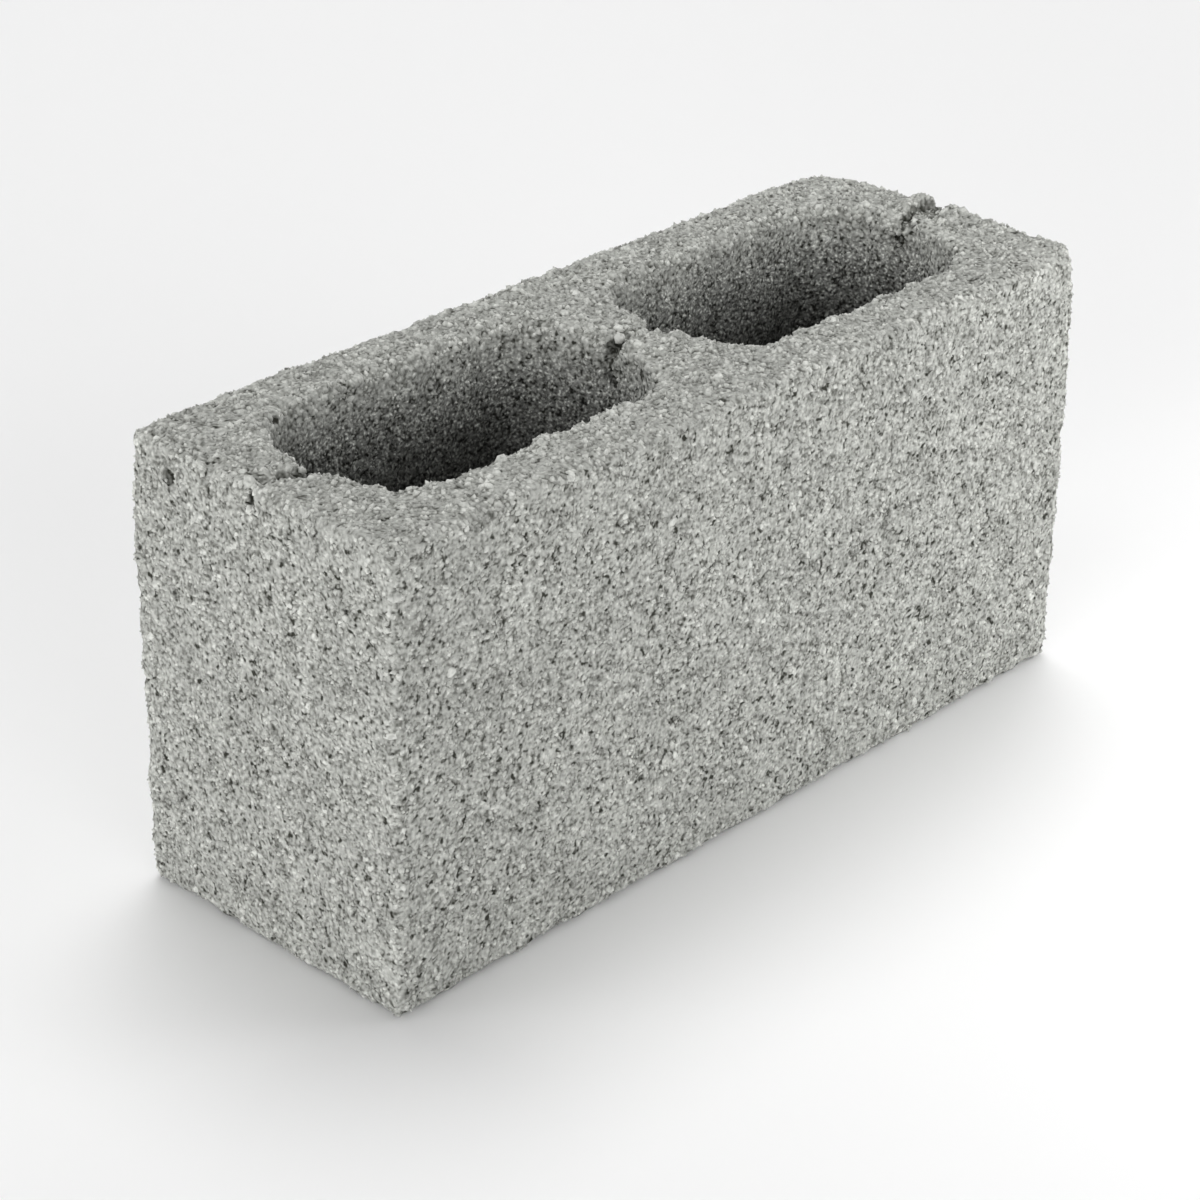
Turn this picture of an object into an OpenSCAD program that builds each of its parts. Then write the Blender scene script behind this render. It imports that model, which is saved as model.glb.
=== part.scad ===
// Hollow concrete block with upright cores, moulded in one piece.
// Millimetres. +X runs along the block, +Y across it and +Z up.
// The origin is the middle of the lower bed face.

/* [Block] */
// Length of the block, along X
block_l = 390; // [290:5:490]
// Width of the block, along Y
block_w = 140; // [115:5:240]
// Height of the block, along Z
block_h = 190; // [90:5:240]
// Radius of the four upright arrises
arris_r = 3; // [1:0.5:8]
// Chamfer along the edges of both bed faces
bed_chamfer = 1.5; // [0.5:0.5:4]

/* [Cores] */
// Number of cores, side by side along the block
core_count = 2; // [1:1:3]
// Thickness of each long face shell, at the upper bed
shell_t = 28; // [22:1:34]
// Thickness of each end web where it is thinnest, behind the crease
end_web_t = 25; // [20:1:34]
// Thickness of the web between two cores where it is thinnest
mid_web_t = 20; // [18:1:34]
// Radius of the upright corners of a core, at the upper bed
core_corner_r = 22; // [10:1:22]
// How far a core's end walls bow outwards to the crease at mid width
end_bow = 8; // [0:1:10]
// Radius in the depth of the crease, at the lower bed
crease_r = 1.5; // [0.5:0.5:3]
// How far each core wall leans in from the upper bed to the lower one
core_draft = 2.5; // [0:0.5:5]

/* [Mouths] */
// How far the upper rim of a core is broken back
mouth_flare = 2.5; // [0.5:0.5:4]
// How deep the broken rim reaches
mouth_depth = 4; // [1:0.5:8]

/* [Hidden] */

// How far a cut runs past the face that it opens
over = 1;
// Sides to a full round
$fn = 32;

// Size of one core at the upper bed, from crease to crease and from shell to shell
core_l = (block_l - 2 * end_web_t - (core_count - 1) * mid_web_t) / core_count;
core_w = block_w - 2 * shell_t;
// Distance from the middle of one core to the next
core_pitch = core_l + mid_web_t;
// Radii of a core's corner cones and crease cones at the upper bed
corner_r = min(core_corner_r, core_w / 2, core_l / 2 - end_bow);
crease_top_r = crease_r + core_draft;
// Middles of those cones
corner_x = core_l / 2 - end_bow - corner_r;
corner_y = core_w / 2 - corner_r;
crease_x = core_l / 2 - crease_top_r;

// Radius at height z of a cone that has radius r at the upper bed, under the core's draft
function drafted(r, z) = r - core_draft * (1 - z / block_h);

// Rectangle with the arris radius on its corners, centred
module arris_plan(l, w) {
    square([l - 2 * arris_r, w], center = true);
    square([l, w - 2 * arris_r], center = true);
    for (x = [-1, 1], y = [-1, 1])
        translate([x * (l / 2 - arris_r), y * (w / 2 - arris_r)])
            circle(r = arris_r);
}

// Upright section of the given width with its bed edges chamfered, standing on y = 0
module bed_section(w) {
    c = bed_chamfer;
    polygon([
        [-w / 2 + c, 0], [w / 2 - c, 0], [w / 2, c], [w / 2, block_h - c],
        [w / 2 - c, block_h], [-w / 2 + c, block_h], [-w / 2, block_h - c], [-w / 2, c]
    ]);
}

// The block before its cores are taken out
module envelope() {
    intersection() {
        linear_extrude(block_h) arris_plan(block_l, block_w);
        rotate([90, 0, 0])
            linear_extrude(block_w, center = true) bed_section(block_l);
        rotate([90, 0, 90])
            linear_extrude(block_l, center = true) bed_section(block_w);
    }
}

// Hull of six cones, one in each corner of the core and one behind each crease.
// From height low to high their radii grow by grow_low to grow_high on top of the draft.
module core_stage(low, high, grow_low, grow_high) {
    hull()
        for (x = [-1, 1]) {
            for (y = [-1, 1])
                translate([x * corner_x, y * corner_y, low])
                    cylinder(h = high - low, r1 = drafted(corner_r, low) + grow_low,
                             r2 = drafted(corner_r, high) + grow_high);
            translate([x * crease_x, 0, low])
                cylinder(h = high - low, r1 = drafted(crease_top_r, low) + grow_low,
                         r2 = drafted(crease_top_r, high) + grow_high);
        }
}

// The space that one core takes out, with its broken upper rim.
// The rim's slope starts inside the core, and comes out of its walls at the mouth's depth.
module core() {
    lead = over * mouth_flare / mouth_depth;
    core_stage(-over, block_h + over, 0, 0);
    core_stage(block_h - mouth_depth - over, block_h + over, -lead, mouth_flare + lead);
}

// The whole block
module block() {
    color([0.66, 0.66, 0.64])
        difference() {
            envelope();
            for (i = [0:core_count - 1])
                translate([(i - (core_count - 1) / 2) * core_pitch, 0, 0]) core();
        }
}

block();
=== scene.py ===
"""A hollow block of dry-cast concrete: a worn, open-grained casting with its sand standing proud.

All sizes are in metres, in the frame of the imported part, and MM turns millimetres into them.
"""

import math

import bmesh
import bpy
import numpy as np
from mathutils import Matrix, Vector, noise
from mathutils.kdtree import KDTree


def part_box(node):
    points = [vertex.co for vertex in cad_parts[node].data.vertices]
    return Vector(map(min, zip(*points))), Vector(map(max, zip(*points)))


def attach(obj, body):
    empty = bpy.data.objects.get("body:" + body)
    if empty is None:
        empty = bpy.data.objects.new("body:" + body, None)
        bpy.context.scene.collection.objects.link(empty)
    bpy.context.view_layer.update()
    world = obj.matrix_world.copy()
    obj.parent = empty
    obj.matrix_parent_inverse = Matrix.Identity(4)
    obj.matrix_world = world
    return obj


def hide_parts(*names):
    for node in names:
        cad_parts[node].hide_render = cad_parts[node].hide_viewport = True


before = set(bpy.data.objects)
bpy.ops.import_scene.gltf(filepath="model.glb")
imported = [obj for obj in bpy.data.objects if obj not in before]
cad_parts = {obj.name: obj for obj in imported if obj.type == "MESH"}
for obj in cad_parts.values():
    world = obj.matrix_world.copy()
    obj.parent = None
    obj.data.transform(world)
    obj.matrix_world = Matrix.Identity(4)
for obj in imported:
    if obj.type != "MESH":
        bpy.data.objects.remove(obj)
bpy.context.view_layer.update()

MM = 0.001
LOW, HIGH = (np.array(corner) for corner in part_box("block"))
MIDDLE = (LOW + HIGH) / 2

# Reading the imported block: how close two corners are when they are the same, how far off the upper
# bed an edge may lie, how sharp the rim of a core is at least, and the steps taken along it
SAME_PLACE = 0.001 * MM
RIM_SLACK = 0.1 * MM
SHARP_ANGLE = 0.2
RIM_STEP = 2 * MM

# The casting's skin
SKIN_CELL = 2.8 * MM  # side of the small squares that the skin is made of
SKIN_SINK = 0.9 * MM  # how far the paste lies below the tops of the grains that touched the mould
PORE_DEPTH = 0.9 * MM
SWELLS = ((50, 0.35), (17, 0.35), (8, 0.45), (5, 0.30))  # wavelength and height of each swell, in mm

# How far the net of the skin is finer: around the mouths, at the upper edges, and at the scars
FINE_AT_MOUTHS = 9 * MM
FINE_AT_EDGES = 5 * MM
FINE_AT_SCARS = 14 * MM
FINEST_AT_SCARS = 6 * MM

# Raggedness of the worn skin: height and wavelength of each swell in mm, and its seed
ARRIS_SWELLS = ((1.0, 32, 11), (0.7, 9, 12))
CORNER_SWELLS = ((0.8, 8, 21), (0.5, 4, 22))
MOUTH_SWELLS = ((1.8, 11, 31), (1.3, 5.5, 32))
TORN_SWELLS = ((1.3, 5, 33), (0.8, 2.6, 34))

# Random heights: how far each seed shifts the noise along each axis, and what widens it to -1 to 1
SEED_SHIFT = (7.31, 3.17, 5.53)
NOISE_GAIN = 1.4

# How far the outlines of the scars waver, over what length, and a seed for each axis
WAVER, WAVER_LENGTH, WAVER_SEEDS = 0.9 * MM, 3.5 * MM, (35, 36, 37)

# Wear of the arrises, in mm: its middle depth, how far it varies and its least depth
ARRIS_WEAR = (1.5, 0.8, 0.6)

# How deep a scar is where it is wholly a fresh cut
FRESH_DEPTH = 2 * MM

# How far the crumbling goes around the mouths, and the torn skin around the scars
CRUMBLE_REACH = 8 * MM
TORN_REACH = 15 * MM

# How steeply a corner's sag dies away from the corner
SAG_CURVE = 1.5

# Worn corners: side, way of the cut, depth, sag and reach of the sag, in mm
WORN_CORNERS = (
    ((1, 1, 1), (1.0, 1.0, 1.3), 3.5, 4.5, 34),
    ((1, -1, 1), (1.0, 1.0, 0.6), 7.0, 0.5, 20),
    ((1, -1, 1), (1.0, 1.0, 0.08), 4.8, 0, 1),
    ((-1, 1, 1), (1.0, 1.0, 0.6), 5.5, 0, 1),
    ((-1, 1, 1), (1.0, 1.0, 0.06), 3.6, 0, 1),
    ((-1, -1, 1), (1.0, 1.0, 1.0), 3.0, 0.5, 20),
    ((1, -1, -1), (1.0, 1.0, 0.8), 4.5, 0, 1),
    ((1, 1, -1), (1.0, 1.0, 1.0), 3.0, 0, 1),
    ((-1, 1, -1), (1.0, 1.0, 0.8), 3.5, 0, 1),
    ((-1, -1, -1), (1.0, 1.0, 1.0), 2.5, 0, 1),
)

# How much further the front shell's rims reach into the cores than the back shell's, and how far in
# front of mid width they do so in full
FULLER_FRONT = 5.0 * MM
FULLER_FROM = 25 * MM

# Scars of the bars: each stroke's start and end from the crease at the mouth (into the core, across
# and up), its width and its depth, in mm. A negative depth is a lump.
LEFT_SCAR = (
    ((4.5, 5.5, -8), (5, 14, -7), 6.0, -2.6),
    ((3.5, -5, -6), (3.5, -9, -6), 4.5, -2.0),
    ((-1.5, -1.5, 0), (1.5, -1.5, -5), 2.6, 3.0),
    ((0, -1, 0), (-22, 4, 0), 3.2, 0.9),
    ((-6.5, 0.1, 0), (-7.5, 0.6, 0), 2.2, 2.4),
    ((-17.5, 6.8, 0), (-18.5, 7.2, 0), 2.2, 2.4),
    ((-19.5, 28.6, 0), (-20, 28, 0), 1.8, 1.8),
    ((-22.5, 47.3, -11), (-22.5, 46, -13), 2.0, 2.4),
    ((-22.5, 2.5, -4), (-22.5, 2.6, -8.5), 1.9, 3.8),
)
MIDDLE_SCAR = (
    ((0, -1, 0), (2.3, 1.2, -3), 2.4, 3.4),
    ((2.5, 2.4, -5), (2.8, 4.4, -9), 2.3, 3.4),
    ((3, 4.2, -11.5), (3, 4, -15), 2.1, 3.0),
    ((3, 2.8, -17), (3.2, 2, -20.5), 1.9, 2.4),
    ((3, 6.5, -13.5), (3, 6.8, -15), 2.2, 2.4),
    ((-1, 0, 0), (-5, 5.5, 0), 1.8, 1.8),
    ((-3, 3, 0), (-4, 9, 0), 1.6, 1.4),
    ((3, -5, -4), (3.5, -9, -7), 6.0, -1.8),
    ((2.5, 9, -5), (3, 11, -10), 5.0, -1.8),
)
RIGHT_SCAR = (
    ((0.5, 4.5, 0), (2, 5, -5), 2.5, 3.4),
    ((2, 5.6, -6), (2.5, 4.6, -12.5), 2.4, 3.4),
    ((1, 10, -4), (1.5, 11, -5), 2.2, 2.6),
    ((0, 5.5, 0), (-7, 6, 0), 2.0, 2.2),
    ((-7, 6, 0), (-16, 7.5, 0), 1.8, 1.9),
    ((-16, 7, 0), (-16.5, 3, 0), 1.8, 1.8),
    ((-1, 1, 0), (-20, 2, 0), 6.0, 1.3),
    ((-17, 11.5, 0), (-20, 9.5, 0), 5.0, -3.2),
    ((-21, -4, 0), (-22, -7, 0), 4.0, -2.4),
    ((-7, 10, 0), (-11, 12, 0), 4.5, -1.8),
    ((-9, -8, 0), (-13, -6, 0), 5.0, -1.2),
)

# Patches in the paste. Where it is closed, grains lie deeper and it is paler, with less painted shade
# between them. Where it is loose, pores open: a pore begins and bottoms out at these values of its cloud.
CLOSED_PATCH = 7 * MM
CLOSED_EDGES = (0.35, 0.65)
LOOSE_PATCH = 38 * MM
LOOSENESS = 0.08
PORE_SIZE = 2.5 * MM
PORE_EDGES = (0.37, 0.24)

# Tone of the surface: its middle, how much darker a pore is painted (painted shade in it), and size in
# mm and weight of the specks
MIDDLE_TONE = 0.56
PORE_PAINTED_SHADE = 0.4
SPECKS = ((1.9, 1.0), (1.25, 0.8))

# Slow drifts of the paste: size in mm and strength
DRIFTS = ((60, 0.10), (18, 0.14), (6, 0.16))

# Colours of the concrete, from its darkest tone to its palest
CONCRETE_COLOURS = (
    (0.00, (0.036, 0.0365, 0.029)),
    (0.22, (0.171, 0.173, 0.157)),
    (0.45, (0.371, 0.376, 0.352)),
    (0.70, (0.532, 0.538, 0.508)),
    (1.00, (0.743, 0.750, 0.712)),
)

# What differs by place: each has its value on the outer faces, inside the cores and on the upper bed
PASTE_CONTRAST = (0.85, 1.7, 0.6)
# Pores are painted dark, as painted shade in them, on the paste and on the grains
PASTE_PORES = (0.9, 0.2, 0.65)  # how dark the pores are, as a share of PORE_PAINTED_SHADE
PASTE_PALER = (0.0, 0.12, 0.0)
SAND_CONTRAST = (0.72, 1.6, 0.6)
SAND_PORES = (0.6, 0.15, 0.5)  # the same on the grains
SAND_SPREAD = (0.46, 0.6, 0.42)  # how far the grains' own tones lie apart
# In the cores the bare surface is painted darker, as painted shade, and the dust lightens it again in
# specks
BARE_PAINTED_SHADE = (1.0, 0.60, 1.0)  # how light the surface is where no dust lies
DUST_SHARE = (0.0, 1.1, 0.0)  # how much lighter it is under full dust
BED_BAND = (6 * MM, 2 * MM)  # the upper bed's values set in between these depths below its face
CORE_BAND = 0.4  # the cores' values have set in at this share of DARKENING_DEPTH

# Painted shade in the cores: they darken to this shade over this depth, and hold pale dust
DEEPEST_PAINTED_SHADE = 0.34
DARKENING_DEPTH = 70 * MM
CORE_WALL = 8 * MM  # what lies deeper in the block than this is inside a core
DUST_SIZE = 1.1 * MM
DUST_EDGES = (0.46, 0.72)

# The paste between the grains is darker than they are, partly its own colour and partly painted
# shade in the gaps, and less so where it is closed. The cuts of the scars are darker still, with
# painted shade in their grooves.
OPEN_PASTE_AND_SHADE, CLOSED_PASTE_AND_SHADE = -0.20, -0.08
CUT_PAINTED_SHADE = -0.34

# The sand, as inputs of the tree that sows its grains. Density is in grains to the square metre,
# Elsewhere and At Crumbs are shares of it, Sunk is a share of a grain's size, and the last input is
# added to its tone as painted light, on the coarse grains that stand proud and catch the light.
FINE_SAND = {
    "Least Distance": 1.22 * MM,
    "Density": 0.52 / MM**2,
    "Smallest": 1.4 * MM,
    "Largest": 3.7 * MM,
    "Elsewhere": 1.0,
    "At Crumbs": 0.0,
    "Sunk": 0.08,
    "Painted Light": 0.0,
}
COARSE_SAND = {
    "Least Distance": 2.8 * MM,
    "Density": 0.10 / MM**2,
    "Smallest": 2.8 * MM,
    "Largest": 5.4 * MM,
    "Elsewhere": 0.28,
    "At Crumbs": 0.6,
    "Sunk": 0.26,
    # Painted light: the coarse grains that stand proud are painted paler
    "Painted Light": 0.18,
}
SEED_STEP = 7.0  # from the fine sand's seed to the coarse sand's
MIDDLE_GRAIN_TONE = 0.38  # a grain of this tone is no paler or darker than the paste on it
PORE_MARGIN = 0.05  # how clear of the pores the grains stay
SMALL_GRAIN_BIAS = 1.6  # above 1, small grains outnumber large ones
SQUASH = ((0.75, 0.75, 0.75), (1.2, 1.2, 1.2))  # least and greatest stretch of a grain, along its axes
CLOSED_SINKING = 0.2  # how much deeper the grains sink where the paste is closed
JOG = 0.2 * MM  # how far each corner of a grain is out of place

# How deep a face's zone reaches into the block, and how far down the zone of the mouths goes before
# that of the cores begins
ZONE_DEPTH = 5.5 * MM
MOUTH_ZONE = 80 * MM

# Zones of the skin: how thickly each is sown, and how far its grains stand up as a share of their
# size. Their seeds count up from the first.
FIRST_SEED = 21
ZONES = (
    ("front", 1.0, 0.0),
    ("back", 1.0, 0.0),
    ("ends", 1.0, 0.0),
    ("top", 1.0, 0.08),
    ("mouths", 1.0, 0.0),
    ("cores", 0.4, 0.0),
)

# Camera: how it is turned towards the block, how far off it is, and its lens and sensor in mm
AZIMUTH, ELEVATION, ROLL = (math.radians(a) for a in (-47.05, 27.70, 0.91))
DISTANCE = 1.2532
LENS = 94.60
SENSOR = 36.0
ASIDE = (-12.8 * MM, -19.2 * MM)  # how far the camera stands off the line to the middle, right and up

FLOOR_GREY = 0.93

# Light: the room's strength, the lamps' spread, then each lamp's azimuth, elevation and strength
ROOM_LIGHT = 0.28
LAMP_SPREAD = math.radians(35)
LAMPS = (
    ("far_left", -120, 12, 0.88),
    ("left", -75, 12, 1.04),
    ("front", -15, 12, 0.84),
    ("rear", 125, 15, 0.50),
    ("overhead", 135, 70, 1.46),
)
# A soft lamp low in front of the right half: where it stands, where it points, its size and its power
CLOSE_LAMP = ((0.35, -0.44, 0.30), (0.16, -0.04, 0.10), 0.35, 0.98)


# ---------------------------------------------------------------- node helpers


def put(tree, kind, settings=None, inputs=None):
    """A new node of this kind, with its settings, and with its inputs linked or set."""
    node = tree.nodes.new(kind)
    for name, value in (settings or {}).items():
        setattr(node, name, value)
    for key, value in (inputs or {}).items():
        if isinstance(value, bpy.types.NodeSocket):
            tree.links.new(value, node.inputs[key])
        else:
            node.inputs[key].default_value = value
    return node


def calc(tree, operation, *values):
    """The result of a Math node."""
    return put(tree, "ShaderNodeMath", {"operation": operation}, dict(enumerate(values))).outputs[0]


def remap(tree, value, start, end, low=0.0, high=1.0):
    """value eased from low at start to high at end, and held there beyond them."""
    inputs = {"Value": value, "From Min": start, "From Max": end, "To Min": low, "To Max": high}
    return put(tree, "ShaderNodeMapRange", {"interpolation_type": "SMOOTHSTEP"}, inputs).outputs[0]


def new_group(name, kind, inputs, outputs):
    """A node group with named sockets, and its input and output nodes."""
    tree = bpy.data.node_groups.new(name, kind)
    for label, socket, value in inputs:
        made = tree.interface.new_socket(label, in_out="INPUT", socket_type=socket)
        if value is not None:
            made.default_value = value
    for label, socket in outputs:
        tree.interface.new_socket(label, in_out="OUTPUT", socket_type=socket)
    return tree, tree.nodes.new("NodeGroupInput"), tree.nodes.new("NodeGroupOutput")


def read_skin(tree, name):
    """A value that the skin carries, from 0 to 1."""
    return put(tree, "ShaderNodeAttribute", {"attribute_name": name}).outputs["Fac"]


def use_group(tree, group, inputs=None):
    """The group placed in a tree, with its own values."""
    return put(tree, "ShaderNodeGroup", {"node_tree": group}, inputs)


def cloud_at(tree, spot, size, detail=0.0):
    """Smooth random values around 0.5, in clouds of about this size."""
    cloud = put(tree, "ShaderNodeTexNoise", {}, {"Vector": spot, "Scale": 1 / size, "Detail": detail})
    return cloud.outputs[0]


def closed_at(tree, spot):
    """1 where the paste has closed the surface between the grains, and 0 where it is open."""
    return remap(tree, cloud_at(tree, spot, CLOSED_PATCH, 1.0), *CLOSED_EDGES)


def pores_at(tree, spot, margin=0.0):
    """1 in the open pores between the grains and 0 elsewhere. Pores gather in loose patches.
    The same nodes serve the sowing of the sand, with a margin, and the pores' painted shade, so they agree."""
    patch = cloud_at(tree, spot, LOOSE_PATCH, 1.0)
    looseness = calc(tree, "MULTIPLY_ADD", patch, LOOSENESS, margin - LOOSENESS / 2)
    depth = calc(tree, "SUBTRACT", cloud_at(tree, spot, PORE_SIZE, 0.5), looseness)
    return remap(tree, depth, *PORE_EDGES)


# ---------------------------------------------------------------- shader groups


def make_drift_group():
    """Slow light and dark drifts of the paste, from hand-sized down to a few millimetres."""
    tree, given, out = new_group(
        "paste_drift",
        "ShaderNodeTree",
        [("Strength", "NodeSocketFloat", 1.0)],
        [("Shade", "NodeSocketFloat")],
    )
    spot = put(tree, "ShaderNodeTexCoord").outputs["Object"]
    shade = 1.0
    for size, strength in DRIFTS:
        swing = calc(tree, "SUBTRACT", cloud_at(tree, spot, size * MM, 2.0), 0.5)
        amount = calc(tree, "MULTIPLY", given.outputs["Strength"], 2 * strength)
        shade = calc(tree, "ADD", shade, calc(tree, "MULTIPLY", swing, amount))
    tree.links.new(shade, out.inputs["Shade"])
    return tree


def make_speckle_group():
    """The grain of the surface: pale specks and dark specks a few millimetres apart, open pores with
    painted shade in them, and the pale dust that lies in the cores."""
    tree, given, out = new_group(
        "speckle",
        "ShaderNodeTree",
        [("Contrast", "NodeSocketFloat", 1.0), ("Pore Depth", "NodeSocketFloat", 1.0)],
        [("Tone", "NodeSocketFloat"), ("Closed", "NodeSocketFloat"), ("Dust", "NodeSocketFloat")],
    )
    spot = put(tree, "ShaderNodeTexCoord").outputs["Object"]
    tone = 0.0
    for size, amount in SPECKS:
        swing = calc(tree, "SUBTRACT", cloud_at(tree, spot, size * MM, 0.5), 0.5)
        tone = calc(tree, "MULTIPLY_ADD", swing, amount, tone)
    tone = calc(tree, "MULTIPLY_ADD", tone, given.outputs["Contrast"], MIDDLE_TONE)
    # Painted shade in the pores
    pore = calc(tree, "MULTIPLY", pores_at(tree, spot), given.outputs["Pore Depth"])
    tone = calc(tree, "MULTIPLY_ADD", pore, -PORE_PAINTED_SHADE, tone)
    dust = remap(tree, cloud_at(tree, spot, DUST_SIZE, 0.5), *DUST_EDGES)
    tree.links.new(tone, out.inputs["Tone"])
    tree.links.new(closed_at(tree, spot), out.inputs["Closed"])
    tree.links.new(dust, out.inputs["Dust"])
    return tree


def make_tint_group():
    """The colour of concrete of a given tone, scaled by a shade: the paste's drift, the painted shade in
    the cores and their pale dust.
    """
    tree, given, out = new_group(
        "cement_tint",
        "ShaderNodeTree",
        [("Tone", "NodeSocketFloat", 0.5), ("Shade", "NodeSocketFloat", 1.0)],
        [("Color", "NodeSocketColor")],
    )
    ramp = put(tree, "ShaderNodeValToRGB", {}, {"Fac": given.outputs["Tone"]})
    while len(ramp.color_ramp.elements) < len(CONCRETE_COLOURS):
        ramp.color_ramp.elements.new(0.5)
    for stop, (place, colour) in zip(ramp.color_ramp.elements, CONCRETE_COLOURS):
        stop.position = place
        stop.color = (*colour, 1.0)
    amounts = {0: ramp.outputs["Color"], "Scale": given.outputs["Shade"]}
    shaded = put(tree, "ShaderNodeVectorMath", {"operation": "SCALE"}, amounts)
    tree.links.new(shaded.outputs[0], out.inputs["Color"])
    return tree


# ---------------------------------------------------------------- materials


def blank_material(name):
    """A material with one Principled shader, and its tree and that shader."""
    material = bpy.data.materials.new(name)
    material.use_nodes = True
    tree = material.node_tree
    tree.nodes.clear()
    surface = put(tree, "ShaderNodeBsdfPrincipled", {}, {"Specular IOR Level": 0.25, "Metallic": 0.0})
    put(tree, "ShaderNodeOutputMaterial", {}, {"Surface": surface.outputs[0]})
    return material, tree, surface


def by_place(tree, values):
    """The first value on the outer faces, the second inside the cores, the third on the upper bed."""
    outside, cores, bed = values
    spot = put(tree, "ShaderNodeTexCoord").outputs["Object"]
    height = put(tree, "ShaderNodeSeparateXYZ", {}, {0: spot}).outputs["Z"]
    on_bed = remap(tree, height, *(HIGH[2] - depth for depth in BED_BAND))
    in_core = remap(tree, read_skin(tree, "inner"), 0.0, CORE_BAND)
    value = calc(tree, "MULTIPLY_ADD", in_core, cores - outside, outside)
    return calc(tree, "MULTIPLY_ADD", on_bed, bed - outside, value)


def shade_of(tree, drift, grain):
    """How light the surface is: the paste's drift, with painted shade deepening down in the cores, and pale
    dust there.
    """
    bare = by_place(tree, BARE_PAINTED_SHADE)
    dust_and_painted_shade = calc(tree, "MULTIPLY_ADD", grain.outputs["Dust"], by_place(tree, DUST_SHARE), bare)
    # Painted shade that deepens down the cores
    core_painted_shade = remap(tree, read_skin(tree, "inner"), 0.0, 1.0, 1.0, DEEPEST_PAINTED_SHADE)
    shade = calc(tree, "MULTIPLY", drift.outputs["Shade"], core_painted_shade)
    return calc(tree, "MULTIPLY", shade, dust_and_painted_shade)


def finish_surface(tree, surface, colour, relief, tone, roughness):
    """Joins a colour, a fine relief and a roughness that follows the tone to a surface."""
    bump = put(tree, "ShaderNodeBump", {}, relief)
    rough = remap(tree, tone, 0.0, 1.0, *roughness)
    tree.links.new(colour.outputs["Color"], surface.inputs["Base Color"])
    tree.links.new(rough, surface.inputs["Roughness"])
    tree.links.new(bump.outputs[0], surface.inputs["Normal"])


def make_cast_concrete(drift_group, speckle, tint):
    """The casting: paste and fine sand, with open pores."""
    material, tree, surface = blank_material("cast_concrete")
    drift = use_group(tree, drift_group, {"Strength": 1.0})
    contrast = by_place(tree, PASTE_CONTRAST)
    grain = use_group(tree, speckle, {"Contrast": contrast, "Pore Depth": by_place(tree, PASTE_PORES)})
    # Between the grains the paste is darker: partly its own colour, partly painted shade in the gaps
    paste = remap(tree, grain.outputs["Closed"], 0.0, 1.0, OPEN_PASTE_AND_SHADE, CLOSED_PASTE_AND_SHADE)
    tone = calc(tree, "ADD", grain.outputs["Tone"], paste)
    tone = calc(tree, "ADD", tone, by_place(tree, PASTE_PALER))
    # Painted shade in the grooves of the scars
    tone = calc(tree, "MULTIPLY_ADD", read_skin(tree, "cut"), CUT_PAINTED_SHADE, tone)
    colour = use_group(tree, tint, {"Tone": tone, "Shade": shade_of(tree, drift, grain)})
    relief = {"Strength": 0.8, "Distance": 0.6 * MM, "Height": grain.outputs["Tone"]}
    finish_surface(tree, surface, colour, relief, tone, (0.98, 0.86))
    return material


def make_coated_sand(drift_group, speckle, tint):
    """The grains that stand proud: each has a tone of its own, under the same paste."""
    material, tree, surface = blank_material("paste_coated_sand")
    drift = use_group(tree, drift_group, {"Strength": 1.0})
    contrast = by_place(tree, SAND_CONTRAST)
    grain = use_group(tree, speckle, {"Contrast": contrast, "Pore Depth": by_place(tree, SAND_PORES)})
    own = calc(tree, "SUBTRACT", read_skin(tree, "tone"), MIDDLE_GRAIN_TONE)
    tone = calc(tree, "MULTIPLY_ADD", own, by_place(tree, SAND_SPREAD), grain.outputs["Tone"])
    colour = use_group(tree, tint, {"Tone": tone, "Shade": shade_of(tree, drift, grain)})
    relief = {"Strength": 0.55, "Distance": 0.45 * MM, "Height": grain.outputs["Tone"]}
    finish_surface(tree, surface, colour, relief, tone, (0.97, 0.84))
    return material


# ---------------------------------------------------------------- the casting


def settled(obj):
    """obj with its modifiers worked into a plain mesh."""
    graph = bpy.context.evaluated_depsgraph_get()
    mesh = bpy.data.meshes.new_from_object(obj.evaluated_get(graph), depsgraph=graph)
    obj.modifiers.clear()
    obj.data = mesh
    return obj


def merged_copy():
    """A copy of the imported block's mesh, with the corners of its facets joined."""
    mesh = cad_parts["block"].data.copy()
    mesh.materials.clear()
    work = bmesh.new()
    work.from_mesh(mesh)
    bmesh.ops.remove_doubles(work, verts=work.verts, dist=SAME_PLACE)
    work.to_mesh(mesh)
    work.free()
    return mesh


def rim_of_cores(mesh):
    """Places all along the mouths of the cores, on the upper bed."""
    work = bmesh.new()
    work.from_mesh(mesh)
    inside = HIGH - CORE_WALL
    places = []
    for edge in work.edges:
        ends = [np.array(vert.co) for vert in edge.verts]
        on_bed = all(HIGH[2] - end[2] < RIM_SLACK for end in ends)
        in_plan = all((np.abs(end[:2]) < inside[:2]).all() for end in ends)
        if on_bed and in_plan and edge.calc_face_angle(0) > SHARP_ANGLE:
            steps = int(edge.calc_length() / RIM_STEP) + 2
            places += [ends[0] + (ends[1] - ends[0]) * t for t in np.linspace(0, 1, steps)]
    work.free()
    return np.array(places)


def closeness(place, targets, reach):
    """1 at the targets, falling to 0 at reach from them."""
    tree = KDTree(len(targets))
    for index, target in enumerate(targets):
        tree.insert(target, index)
    tree.balance()
    distance = np.array([tree.find(p)[2] for p in place.tolist()])
    return np.clip(1 - distance / reach, 0, 1)


def even_skin(mesh):
    """The block's shape with a skin that is an even net of small squares."""
    obj = bpy.data.objects.new("block_casting", mesh)
    bpy.context.scene.collection.objects.link(obj)
    net = obj.modifiers.new("even_net", "REMESH")
    net.mode = "VOXEL"
    net.voxel_size = SKIN_CELL
    return settled(obj)


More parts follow.
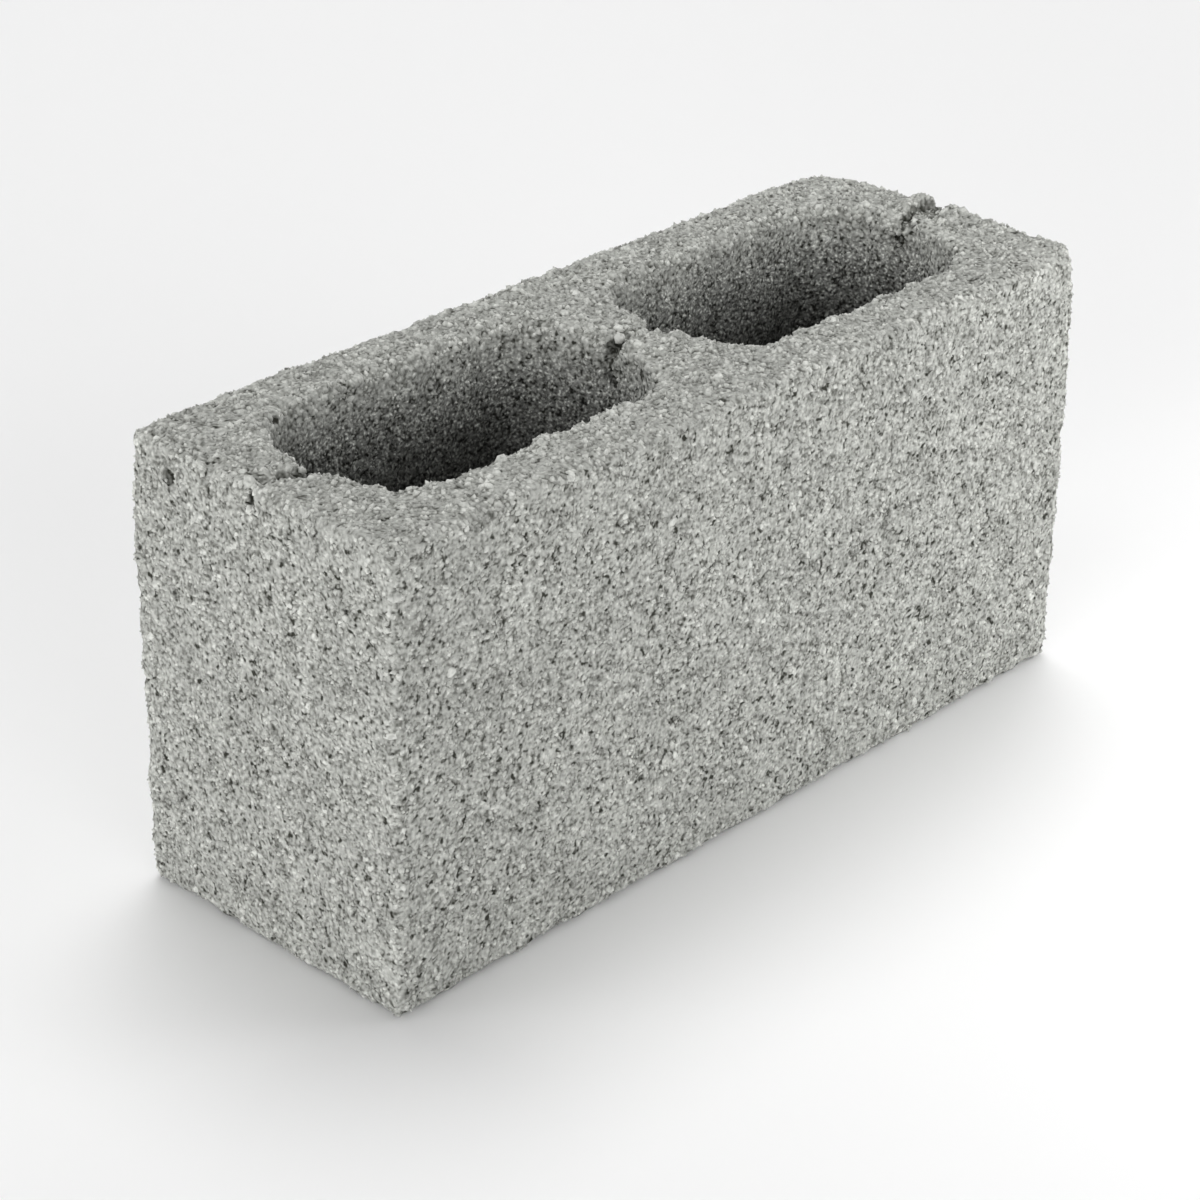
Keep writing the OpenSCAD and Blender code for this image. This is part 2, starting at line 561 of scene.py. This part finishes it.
def table_of(items, name):
    """The vector of this name of every item, as a table with three columns."""
    values = np.empty(len(items) * 3)
    items.foreach_get(name, values)
    return values.reshape(-1, 3)


def places_of(mesh):
    """Where the mesh's vertices lie."""
    return table_of(mesh.vertices, "co")


def set_places(mesh, place):
    """Moves the mesh's vertices to these places."""
    mesh.vertices.foreach_set("co", place.ravel())
    mesh.update()


def inside_by(place):
    """How far each place lies inside the block's faces, along each axis."""
    return np.abs(HIGH - MIDDLE) - np.abs(place - MIDDLE)


def worn_places(obj, rim, marks):
    """Where the skin needs a finer net: along the upper edges, around the mouths and at the marks."""
    place = places_of(obj.data)
    near = closeness(place, rim, FINE_AT_MOUTHS)
    near = np.maximum(near, closeness(place, marks, FINE_AT_SCARS))
    beside_edge = np.sort(inside_by(place), axis=1)[:, 1]
    return np.maximum(near, (beside_edge < FINE_AT_EDGES) & (place[:, 2] > MIDDLE[2]))


def refine(obj, near):
    """Halves the net's squares wherever near is above 0."""
    work = bmesh.new()
    work.from_mesh(obj.data)
    work.verts.ensure_lookup_table()
    chosen = [edge for edge in work.edges if all(near[vert.index] > 0 for vert in edge.verts)]
    bmesh.ops.subdivide_edges(work, edges=chosen, cuts=1, use_grid_fill=True)
    bmesh.ops.triangulate(work, faces=[face for face in work.faces if len(face.verts) > 4])
    work.to_mesh(obj.data)
    work.free()


def swell(place, wavelength, seed):
    """A smooth random height at each place, from about -1 to 1."""
    shifted = place / wavelength + tuple(seed * shift for shift in SEED_SHIFT)
    return np.array([noise.noise(p) for p in shifted.tolist()]) * NOISE_GAIN


def swells(place, table):
    """The swells of a table added up, in mm."""
    return sum(height * swell(place, wavelength * MM, seed) for height, wavelength, seed in table)


def shave(place, direction, reach, depth):
    """Moves what lies beyond a plane back onto it. reach is how far the untouched corner or edge
    goes along direction, and depth is how much is lost there."""
    direction = np.array(direction, float) / np.linalg.norm(direction)
    excess = np.maximum(place @ direction - (reach - depth), 0)
    return place - excess[:, None] * direction


def wear_arrises(place):
    """Breaks the twelve outer edges unevenly."""
    half = (HIGH - LOW) / 2
    usual, swing, least = ARRIS_WEAR
    depth = np.maximum((usual + swing * swells(place, ARRIS_SWELLS)) * MM, least * MM)
    for axis in range(3):
        others = [a for a in range(3) if a != axis]
        for signs in ((1, 1), (1, -1), (-1, 1), (-1, -1)):
            direction = np.zeros(3)
            direction[others] = signs
            reach = (half[others].sum() + MIDDLE @ direction) / math.sqrt(2)
            place = shave(place, direction, reach, depth)
    return place


def wear_corners(place):
    """Knocks the corners: each entry has the corner's side, the way it is cut and how deep,
    then how much it sags and over what distance."""
    ragged = swells(place, CORNER_SWELLS)
    for side, cut, depth, sag, reach in WORN_CORNERS:
        corner = np.where(np.array(side) > 0, HIGH, LOW)
        away = np.linalg.norm(place - corner, axis=1) / (reach * MM)
        place = place - (0, 0, 1) * (sag * MM * np.clip(1 - away, 0, 1) ** SAG_CURVE)[:, None]
        way = np.array(side) * cut
        reach_out = corner @ (way / np.linalg.norm(way))
        place = shave(place, way, reach_out, (depth + ragged) * MM)
    return place


def marks_of_bars(rim):
    """The scars of the steel bars that held the core moulds. Each is a stroke between two places,
    with its width and its depth; a negative depth is a lump."""
    left, right = rim[rim[:, 0] < 0], rim[rim[:, 0] > 0]
    top = HIGH[2]
    marks = []
    for crease, way, strokes in (
        (left[:, 0].min(), 1, LEFT_SCAR),
        (left[:, 0].max(), -1, MIDDLE_SCAR),
        (right[:, 0].max(), -1, RIGHT_SCAR),
    ):
        for start, end, width, depth in strokes:
            ends = [np.array((crease, 0, top)) + np.array((way * x, y, z)) * MM for x, y, z in (start, end)]
            marks.append((*ends, width * MM, depth * MM))
    return marks


def ends_of(marks):
    """Both ends of every mark."""
    return [end for mark in marks for end in mark[:2]]


def stroke(place, start, end, width, depth):
    """How far each place is pressed in by one mark."""
    along = end - start
    t = np.clip((place - start) @ along / max(along @ along, 1e-12), 0, 1)
    distance = np.linalg.norm(place - start - t[:, None] * along, axis=1)
    return depth * np.clip(1 - (distance / width) ** 2, 0, 1)


def wear(obj, rim, marks):
    """Breaks the casting's edges, crumbles its mouths and presses in its marks. The skin carries how
    deep it is cut ("cut"), how crumbly it is ("crumbs") and how far inside a core it is ("inner")."""
    mesh = obj.data
    normal = table_of(mesh.vertex_normals, "vector")
    place = wear_corners(wear_arrises(places_of(mesh)))
    near = closeness(place, rim, CRUMBLE_REACH)
    torn = closeness(place, ends_of(marks), TORN_REACH)
    push = swells(place, MOUTH_SWELLS) * near * MM
    push += swells(place, TORN_SWELLS) * torn * MM
    front = np.clip(-place[:, 1] / FULLER_FROM, 0, 1)
    place = place + normal * (1, 1, 0) * (FULLER_FRONT * near * front)[:, None]
    cut = np.zeros(len(place))
    waver = np.stack([swell(place, WAVER_LENGTH, seed) for seed in WAVER_SEEDS], axis=1)
    warped = place + WAVER * waver
    for start, end, width, depth in marks:
        press = stroke(warped, start, end, width, depth)
        push -= press
        cut = np.maximum(cut, np.clip(press / FRESH_DEPTH, 0, 1))
    place = place + normal * push[:, None]
    set_places(mesh, place)
    inner = np.clip((HIGH[2] - place[:, 2]) / DARKENING_DEPTH, 0, 1)
    inner *= inside_by(place).min(axis=1) > CORE_WALL
    for name, values in (("cut", cut), ("crumbs", np.maximum(near, torn)), ("inner", inner)):
        mesh.attributes.new(name, "FLOAT", "POINT").data.foreach_set("value", values)


def make_relief_tree():
    """Geometry nodes that sink, swell and pit a skin."""
    tree, given, out = new_group(
        "skin_relief",
        "GeometryNodeTree",
        [
            ("Skin", "NodeSocketGeometry", None),
            ("Sink", "NodeSocketFloat", SKIN_SINK),
            ("Pore Depth", "NodeSocketFloat", PORE_DEPTH),
        ],
        [("Skin", "NodeSocketGeometry")],
    )
    spot = put(tree, "GeometryNodeInputPosition").outputs[0]
    normal = put(tree, "GeometryNodeInputNormal").outputs[0]
    height = calc(tree, "MULTIPLY", pores_at(tree, spot), given.outputs["Pore Depth"])
    height = calc(tree, "ADD", height, given.outputs["Sink"])
    height = calc(tree, "MULTIPLY", height, -1.0)
    for size, amount in SWELLS:
        swing = calc(tree, "SUBTRACT", cloud_at(tree, spot, size * MM), 0.5)
        height = calc(tree, "MULTIPLY_ADD", swing, amount * 4 * MM, height)
    way = put(tree, "ShaderNodeVectorMath", {"operation": "SCALE"}, {0: normal, "Scale": height}).outputs[0]
    moved = put(tree, "GeometryNodeSetPosition", {}, {"Geometry": given.outputs[0], "Offset": way})
    smooth = put(tree, "GeometryNodeSetShadeSmooth", {}, {"Geometry": moved.outputs[0]})
    tree.links.new(smooth.outputs[0], out.inputs[0])
    return tree


def relieve(obj, tree):
    """Gives the casting its fine relief, without going below its lower bed."""
    obj.modifiers.new("relief", "NODES").node_group = tree
    settled(obj)
    place = places_of(obj.data)
    place[:, 2] = np.maximum(place[:, 2], LOW[2])
    set_places(obj.data, place)


# ---------------------------------------------------------------- the sand that stands proud


def zone_mesh(obj, zone):
    """The faces of obj that lie in a zone, as a mesh of their own."""
    work = bmesh.new()
    work.from_mesh(obj.data)
    gone = [face for face in work.faces if zone_of(face) != zone]
    bmesh.ops.delete(work, geom=gone, context="FACES")
    mesh = bpy.data.meshes.new("zone")
    work.to_mesh(mesh)
    work.free()
    return mesh


def zone_of(face):
    """Which part of the skin a face belongs to."""
    x, y, z = face.calc_center_median()
    gaps = {
        "under": z - LOW[2],
        "top": HIGH[2] - z,
        "front": y - LOW[1],
        "back": HIGH[1] - y,
        "ends": min(x - LOW[0], HIGH[0] - x),
    }
    nearest = min(gaps, key=gaps.get)
    if gaps[nearest] < ZONE_DEPTH:
        return nearest
    return "mouths" if gaps["top"] < MOUTH_ZONE else "cores"


def make_grain_tree():
    """Geometry nodes that sow one size of grain on a skin: spaced apart, part sunk, each turned,
    squashed, roughened and given a tone."""
    tree, given, out = new_group(
        "sown_grains",
        "GeometryNodeTree",
        [
            ("Skin", "NodeSocketGeometry", None),
            ("Grain", "NodeSocketGeometry", None),
            ("Least Distance", "NodeSocketFloat", 2.0 * MM),
            ("Density", "NodeSocketFloat", 2.0e5),
            ("Elsewhere", "NodeSocketFloat", 1.0),
            ("At Crumbs", "NodeSocketFloat", 0.0),
            ("Sunk", "NodeSocketFloat", 0.0),
            ("Painted Light", "NodeSocketFloat", 0.0),
            ("Smallest", "NodeSocketFloat", 1.0 * MM),
            ("Largest", "NodeSocketFloat", 3.0 * MM),
            ("Seed", "NodeSocketInt", 1),
        ],
        [("Sand", "NodeSocketGeometry")],
    )
    spot = put(tree, "GeometryNodeInputPosition").outputs[0]
    cut, crumbs = (
        put(tree, "GeometryNodeInputNamedAttribute", {"data_type": "FLOAT"}, {"Name": name}).outputs[0]
        for name in ("cut", "crumbs")
    )
    bare = calc(tree, "MAXIMUM", pores_at(tree, spot, PORE_MARGIN), cut)
    filled = calc(tree, "SUBTRACT", 1.0, bare)
    wanted = calc(tree, "MULTIPLY_ADD", crumbs, given.outputs["At Crumbs"], given.outputs["Elsewhere"])
    filled = calc(tree, "MULTIPLY", filled, wanted)
    sown = put(
        tree, "GeometryNodeDistributePointsOnFaces", {"distribute_method": "POISSON"},
        {
            "Mesh": given.outputs["Skin"],
            "Distance Min": given.outputs["Least Distance"],
            "Density Max": given.outputs["Density"],
            "Density Factor": filled,
            "Seed": given.outputs["Seed"],
        },
    )

    def chance(kind, low, high, seed):
        """A random value for each grain, or for each of its corners once they are loose."""
        sockets = {0: low, 1: high} if kind == "FLOAT_VECTOR" else {2: low, 3: high}
        node = put(tree, "FunctionNodeRandomValue", {"data_type": kind}, {**sockets, "Seed": seed})
        return node.outputs[0 if kind == "FLOAT_VECTOR" else 1]

    size = put(
        tree, "ShaderNodeMapRange", {},
        {
            "Value": calc(tree, "POWER", chance("FLOAT", 0.0, 1.0, 2), SMALL_GRAIN_BIAS),
            "To Min": given.outputs["Smallest"],
            "To Max": given.outputs["Largest"],
        },
    ).outputs[0]
    squash = chance("FLOAT_VECTOR", *SQUASH, 3)
    scale = put(tree, "ShaderNodeVectorMath", {"operation": "SCALE"}, {0: squash, "Scale": size})
    share = calc(tree, "MULTIPLY_ADD", closed_at(tree, spot), CLOSED_SINKING, given.outputs["Sunk"])
    sinking = calc(tree, "MULTIPLY", calc(tree, "MULTIPLY", size, share), -1.0)
    downward = {0: sown.outputs["Normal"], "Scale": sinking}
    drop = put(tree, "ShaderNodeVectorMath", {"operation": "SCALE"}, downward)
    bedded = put(
        tree, "GeometryNodeSetPosition", {}, {"Geometry": sown.outputs["Points"], "Offset": drop.outputs[0]}
    )
    grains = put(
        tree, "GeometryNodeInstanceOnPoints", {},
        {
            "Points": bedded.outputs[0],
            "Instance": given.outputs["Grain"],
            "Rotation": chance("FLOAT_VECTOR", (0.0,) * 3, (math.tau,) * 3, 1),
            "Scale": scale.outputs[0],
        },
    )
    # Each grain's random tone, plus painted light on the coarse grains
    toned = put(
        tree, "GeometryNodeStoreNamedAttribute", {"data_type": "FLOAT", "domain": "INSTANCE"},
        {
            "Geometry": grains.outputs[0],
            "Name": "tone",
            "Value": calc(tree, "ADD", chance("FLOAT", 0.0, 1.0, 4), given.outputs["Painted Light"]),
        },
    )
    loose = put(tree, "GeometryNodeRealizeInstances", {}, {"Geometry": toned.outputs[0]})
    jog = chance("FLOAT_VECTOR", (-JOG,) * 3, (JOG,) * 3, 5)
    rough = put(tree, "GeometryNodeSetPosition", {}, {"Geometry": loose.outputs[0], "Offset": jog})
    tree.links.new(rough.outputs[0], out.inputs[0])
    return tree


def make_sand_tree(material, grains):
    """Geometry nodes that cover a skin with fine and coarse grains."""
    tree, given, out = new_group(
        "sown_sand",
        "GeometryNodeTree",
        [
            ("Skin", "NodeSocketGeometry", None),
            ("Cover", "NodeSocketFloat", 1.0),
            ("Lift", "NodeSocketFloat", 0.0),
            ("Seed", "NodeSocketInt", 1),
        ],
        [("Sand", "NodeSocketGeometry")],
    )
    fine = put(tree, "GeometryNodeMeshUVSphere", {}, {"Segments": 4, "Rings": 2, "Radius": 0.5})
    coarse = put(tree, "GeometryNodeMeshIcoSphere", {}, {"Subdivisions": 1, "Radius": 0.5})
    sand = put(tree, "GeometryNodeJoinGeometry")
    for shape, kind, step in ((fine, FINE_SAND, 0.0), (coarse, COARSE_SAND, SEED_STEP)):
        inputs = {
            **kind,
            "Skin": given.outputs["Skin"],
            "Grain": shape.outputs["Mesh"],
            "Density": calc(tree, "MULTIPLY", given.outputs["Cover"], kind["Density"]),
            "Sunk": calc(tree, "SUBTRACT", kind["Sunk"], given.outputs["Lift"]),
            "Seed": calc(tree, "ADD", given.outputs["Seed"], step),
        }
        layer = put(tree, "GeometryNodeGroup", {"node_tree": grains}, inputs)
        tree.links.new(layer.outputs[0], sand.inputs[0])
    smooth = put(tree, "GeometryNodeSetShadeSmooth", {}, {"Geometry": sand.outputs[0]})
    coated = put(
        tree, "GeometryNodeSetMaterial", {}, {"Geometry": smooth.outputs[0], "Material": material}
    )
    tree.links.new(coated.outputs[0], out.inputs["Sand"])
    return tree


def sow(casting, zone, tree, cover, lift, seed):
    """The grains of one zone, as one plain mesh. lift is how far they stand up, as a share of
    their size."""
    obj = bpy.data.objects.new("sand_" + zone, zone_mesh(casting, zone))
    bpy.context.scene.collection.objects.link(obj)
    sower = obj.modifiers.new("sand", "NODES")
    sower.node_group = tree
    sockets = {item.name: item.identifier for item in tree.interface.items_tree if item.in_out == "INPUT"}
    sower[sockets["Cover"]] = cover
    sower[sockets["Lift"]] = lift
    sower[sockets["Seed"]] = seed
    return settled(obj)


# ---------------------------------------------------------------- stage


def make_floor():
    """A plain pale floor."""
    bpy.ops.mesh.primitive_circle_add(vertices=96, radius=14.0, fill_type="NGON", location=(0, 0, LOW[2]))
    floor = bpy.context.object
    floor.name = "floor"
    material, tree, surface = blank_material("pale_floor")
    surface.inputs["Base Color"].default_value = (FLOOR_GREY, FLOOR_GREY, FLOOR_GREY, 1.0)
    surface.inputs["Roughness"].default_value = 1.0
    floor.data.materials.append(material)


def hang(lamp, place, aim):
    """Hangs a lamp at a place, facing the point that it is aimed at."""
    holder = bpy.data.objects.new(lamp.name, lamp)
    holder.location = place
    holder.rotation_euler = (place - aim).to_track_quat("Z", "Y").to_euler()
    bpy.context.scene.collection.objects.link(holder)


def make_lights():
    """A dim white room, broad soft lamps far off, and a close one."""
    world = bpy.data.worlds.new("white_room")
    bpy.context.scene.world = world
    world.use_nodes = True
    backdrop = world.node_tree.nodes["Background"]
    backdrop.inputs["Color"].default_value = (1.0, 1.0, 1.0, 1.0)
    backdrop.inputs["Strength"].default_value = ROOM_LIGHT
    for name, azimuth, elevation, strength in LAMPS:
        lamp = bpy.data.lights.new(name, "SUN")
        lamp.angle = LAMP_SPREAD
        lamp.energy = strength
        turn, rise = math.radians(azimuth), math.radians(elevation)
        toward = Vector((math.sin(turn) * math.cos(rise), -math.cos(turn) * math.cos(rise), math.sin(rise)))
        hang(lamp, toward, Vector())
    place, aim, size, power = CLOSE_LAMP
    lamp = bpy.data.lights.new("close", "AREA")
    lamp.size = size
    lamp.energy = power
    hang(lamp, Vector(place), Vector(aim))


def make_camera():
    """The camera, looking down at the block with a slight roll."""
    back = Vector(
        (
            math.sin(AZIMUTH) * math.cos(ELEVATION),
            -math.cos(AZIMUTH) * math.cos(ELEVATION),
            math.sin(ELEVATION),
        )
    )
    side = Vector((0, 0, 1)).cross(back).normalized()
    up = back.cross(side)
    right = math.cos(ROLL) * side + math.sin(ROLL) * up
    up = math.cos(ROLL) * up - math.sin(ROLL) * side
    camera = bpy.data.cameras.new("camera")
    camera.lens = LENS
    camera.sensor_width = SENSOR
    holder = bpy.data.objects.new("camera", camera)
    bpy.context.scene.collection.objects.link(holder)
    place = Vector(MIDDLE) + back * DISTANCE + right * ASIDE[0] + up * ASIDE[1]
    turn = Matrix((right, up, back)).transposed().to_4x4()
    holder.matrix_world = Matrix.Translation(place) @ turn
    bpy.context.scene.camera = holder


# ---------------------------------------------------------------- build

make_camera()
make_lights()
make_floor()
bpy.context.scene.view_settings.view_transform = "Standard"

groups = (make_drift_group(), make_speckle_group(), make_tint_group())
concrete = make_cast_concrete(*groups)
coated_sand = make_coated_sand(*groups)

plain = merged_copy()
rim = rim_of_cores(plain)
marks = marks_of_bars(rim)
casting = even_skin(plain)
refine(casting, worn_places(casting, rim, ends_of(marks)))
refine(casting, closeness(places_of(casting.data), ends_of(marks), FINEST_AT_SCARS))
wear(casting, rim, marks)
relieve(casting, make_relief_tree())
casting.data.materials.append(concrete)
pieces = [casting]
sand_tree = make_sand_tree(coated_sand, make_grain_tree())
for seed, (zone, cover, lift) in enumerate(ZONES, start=FIRST_SEED):
    pieces.append(sow(casting, zone, sand_tree, cover, lift, seed))
for piece in pieces:
    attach(piece, "root")
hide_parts("block")
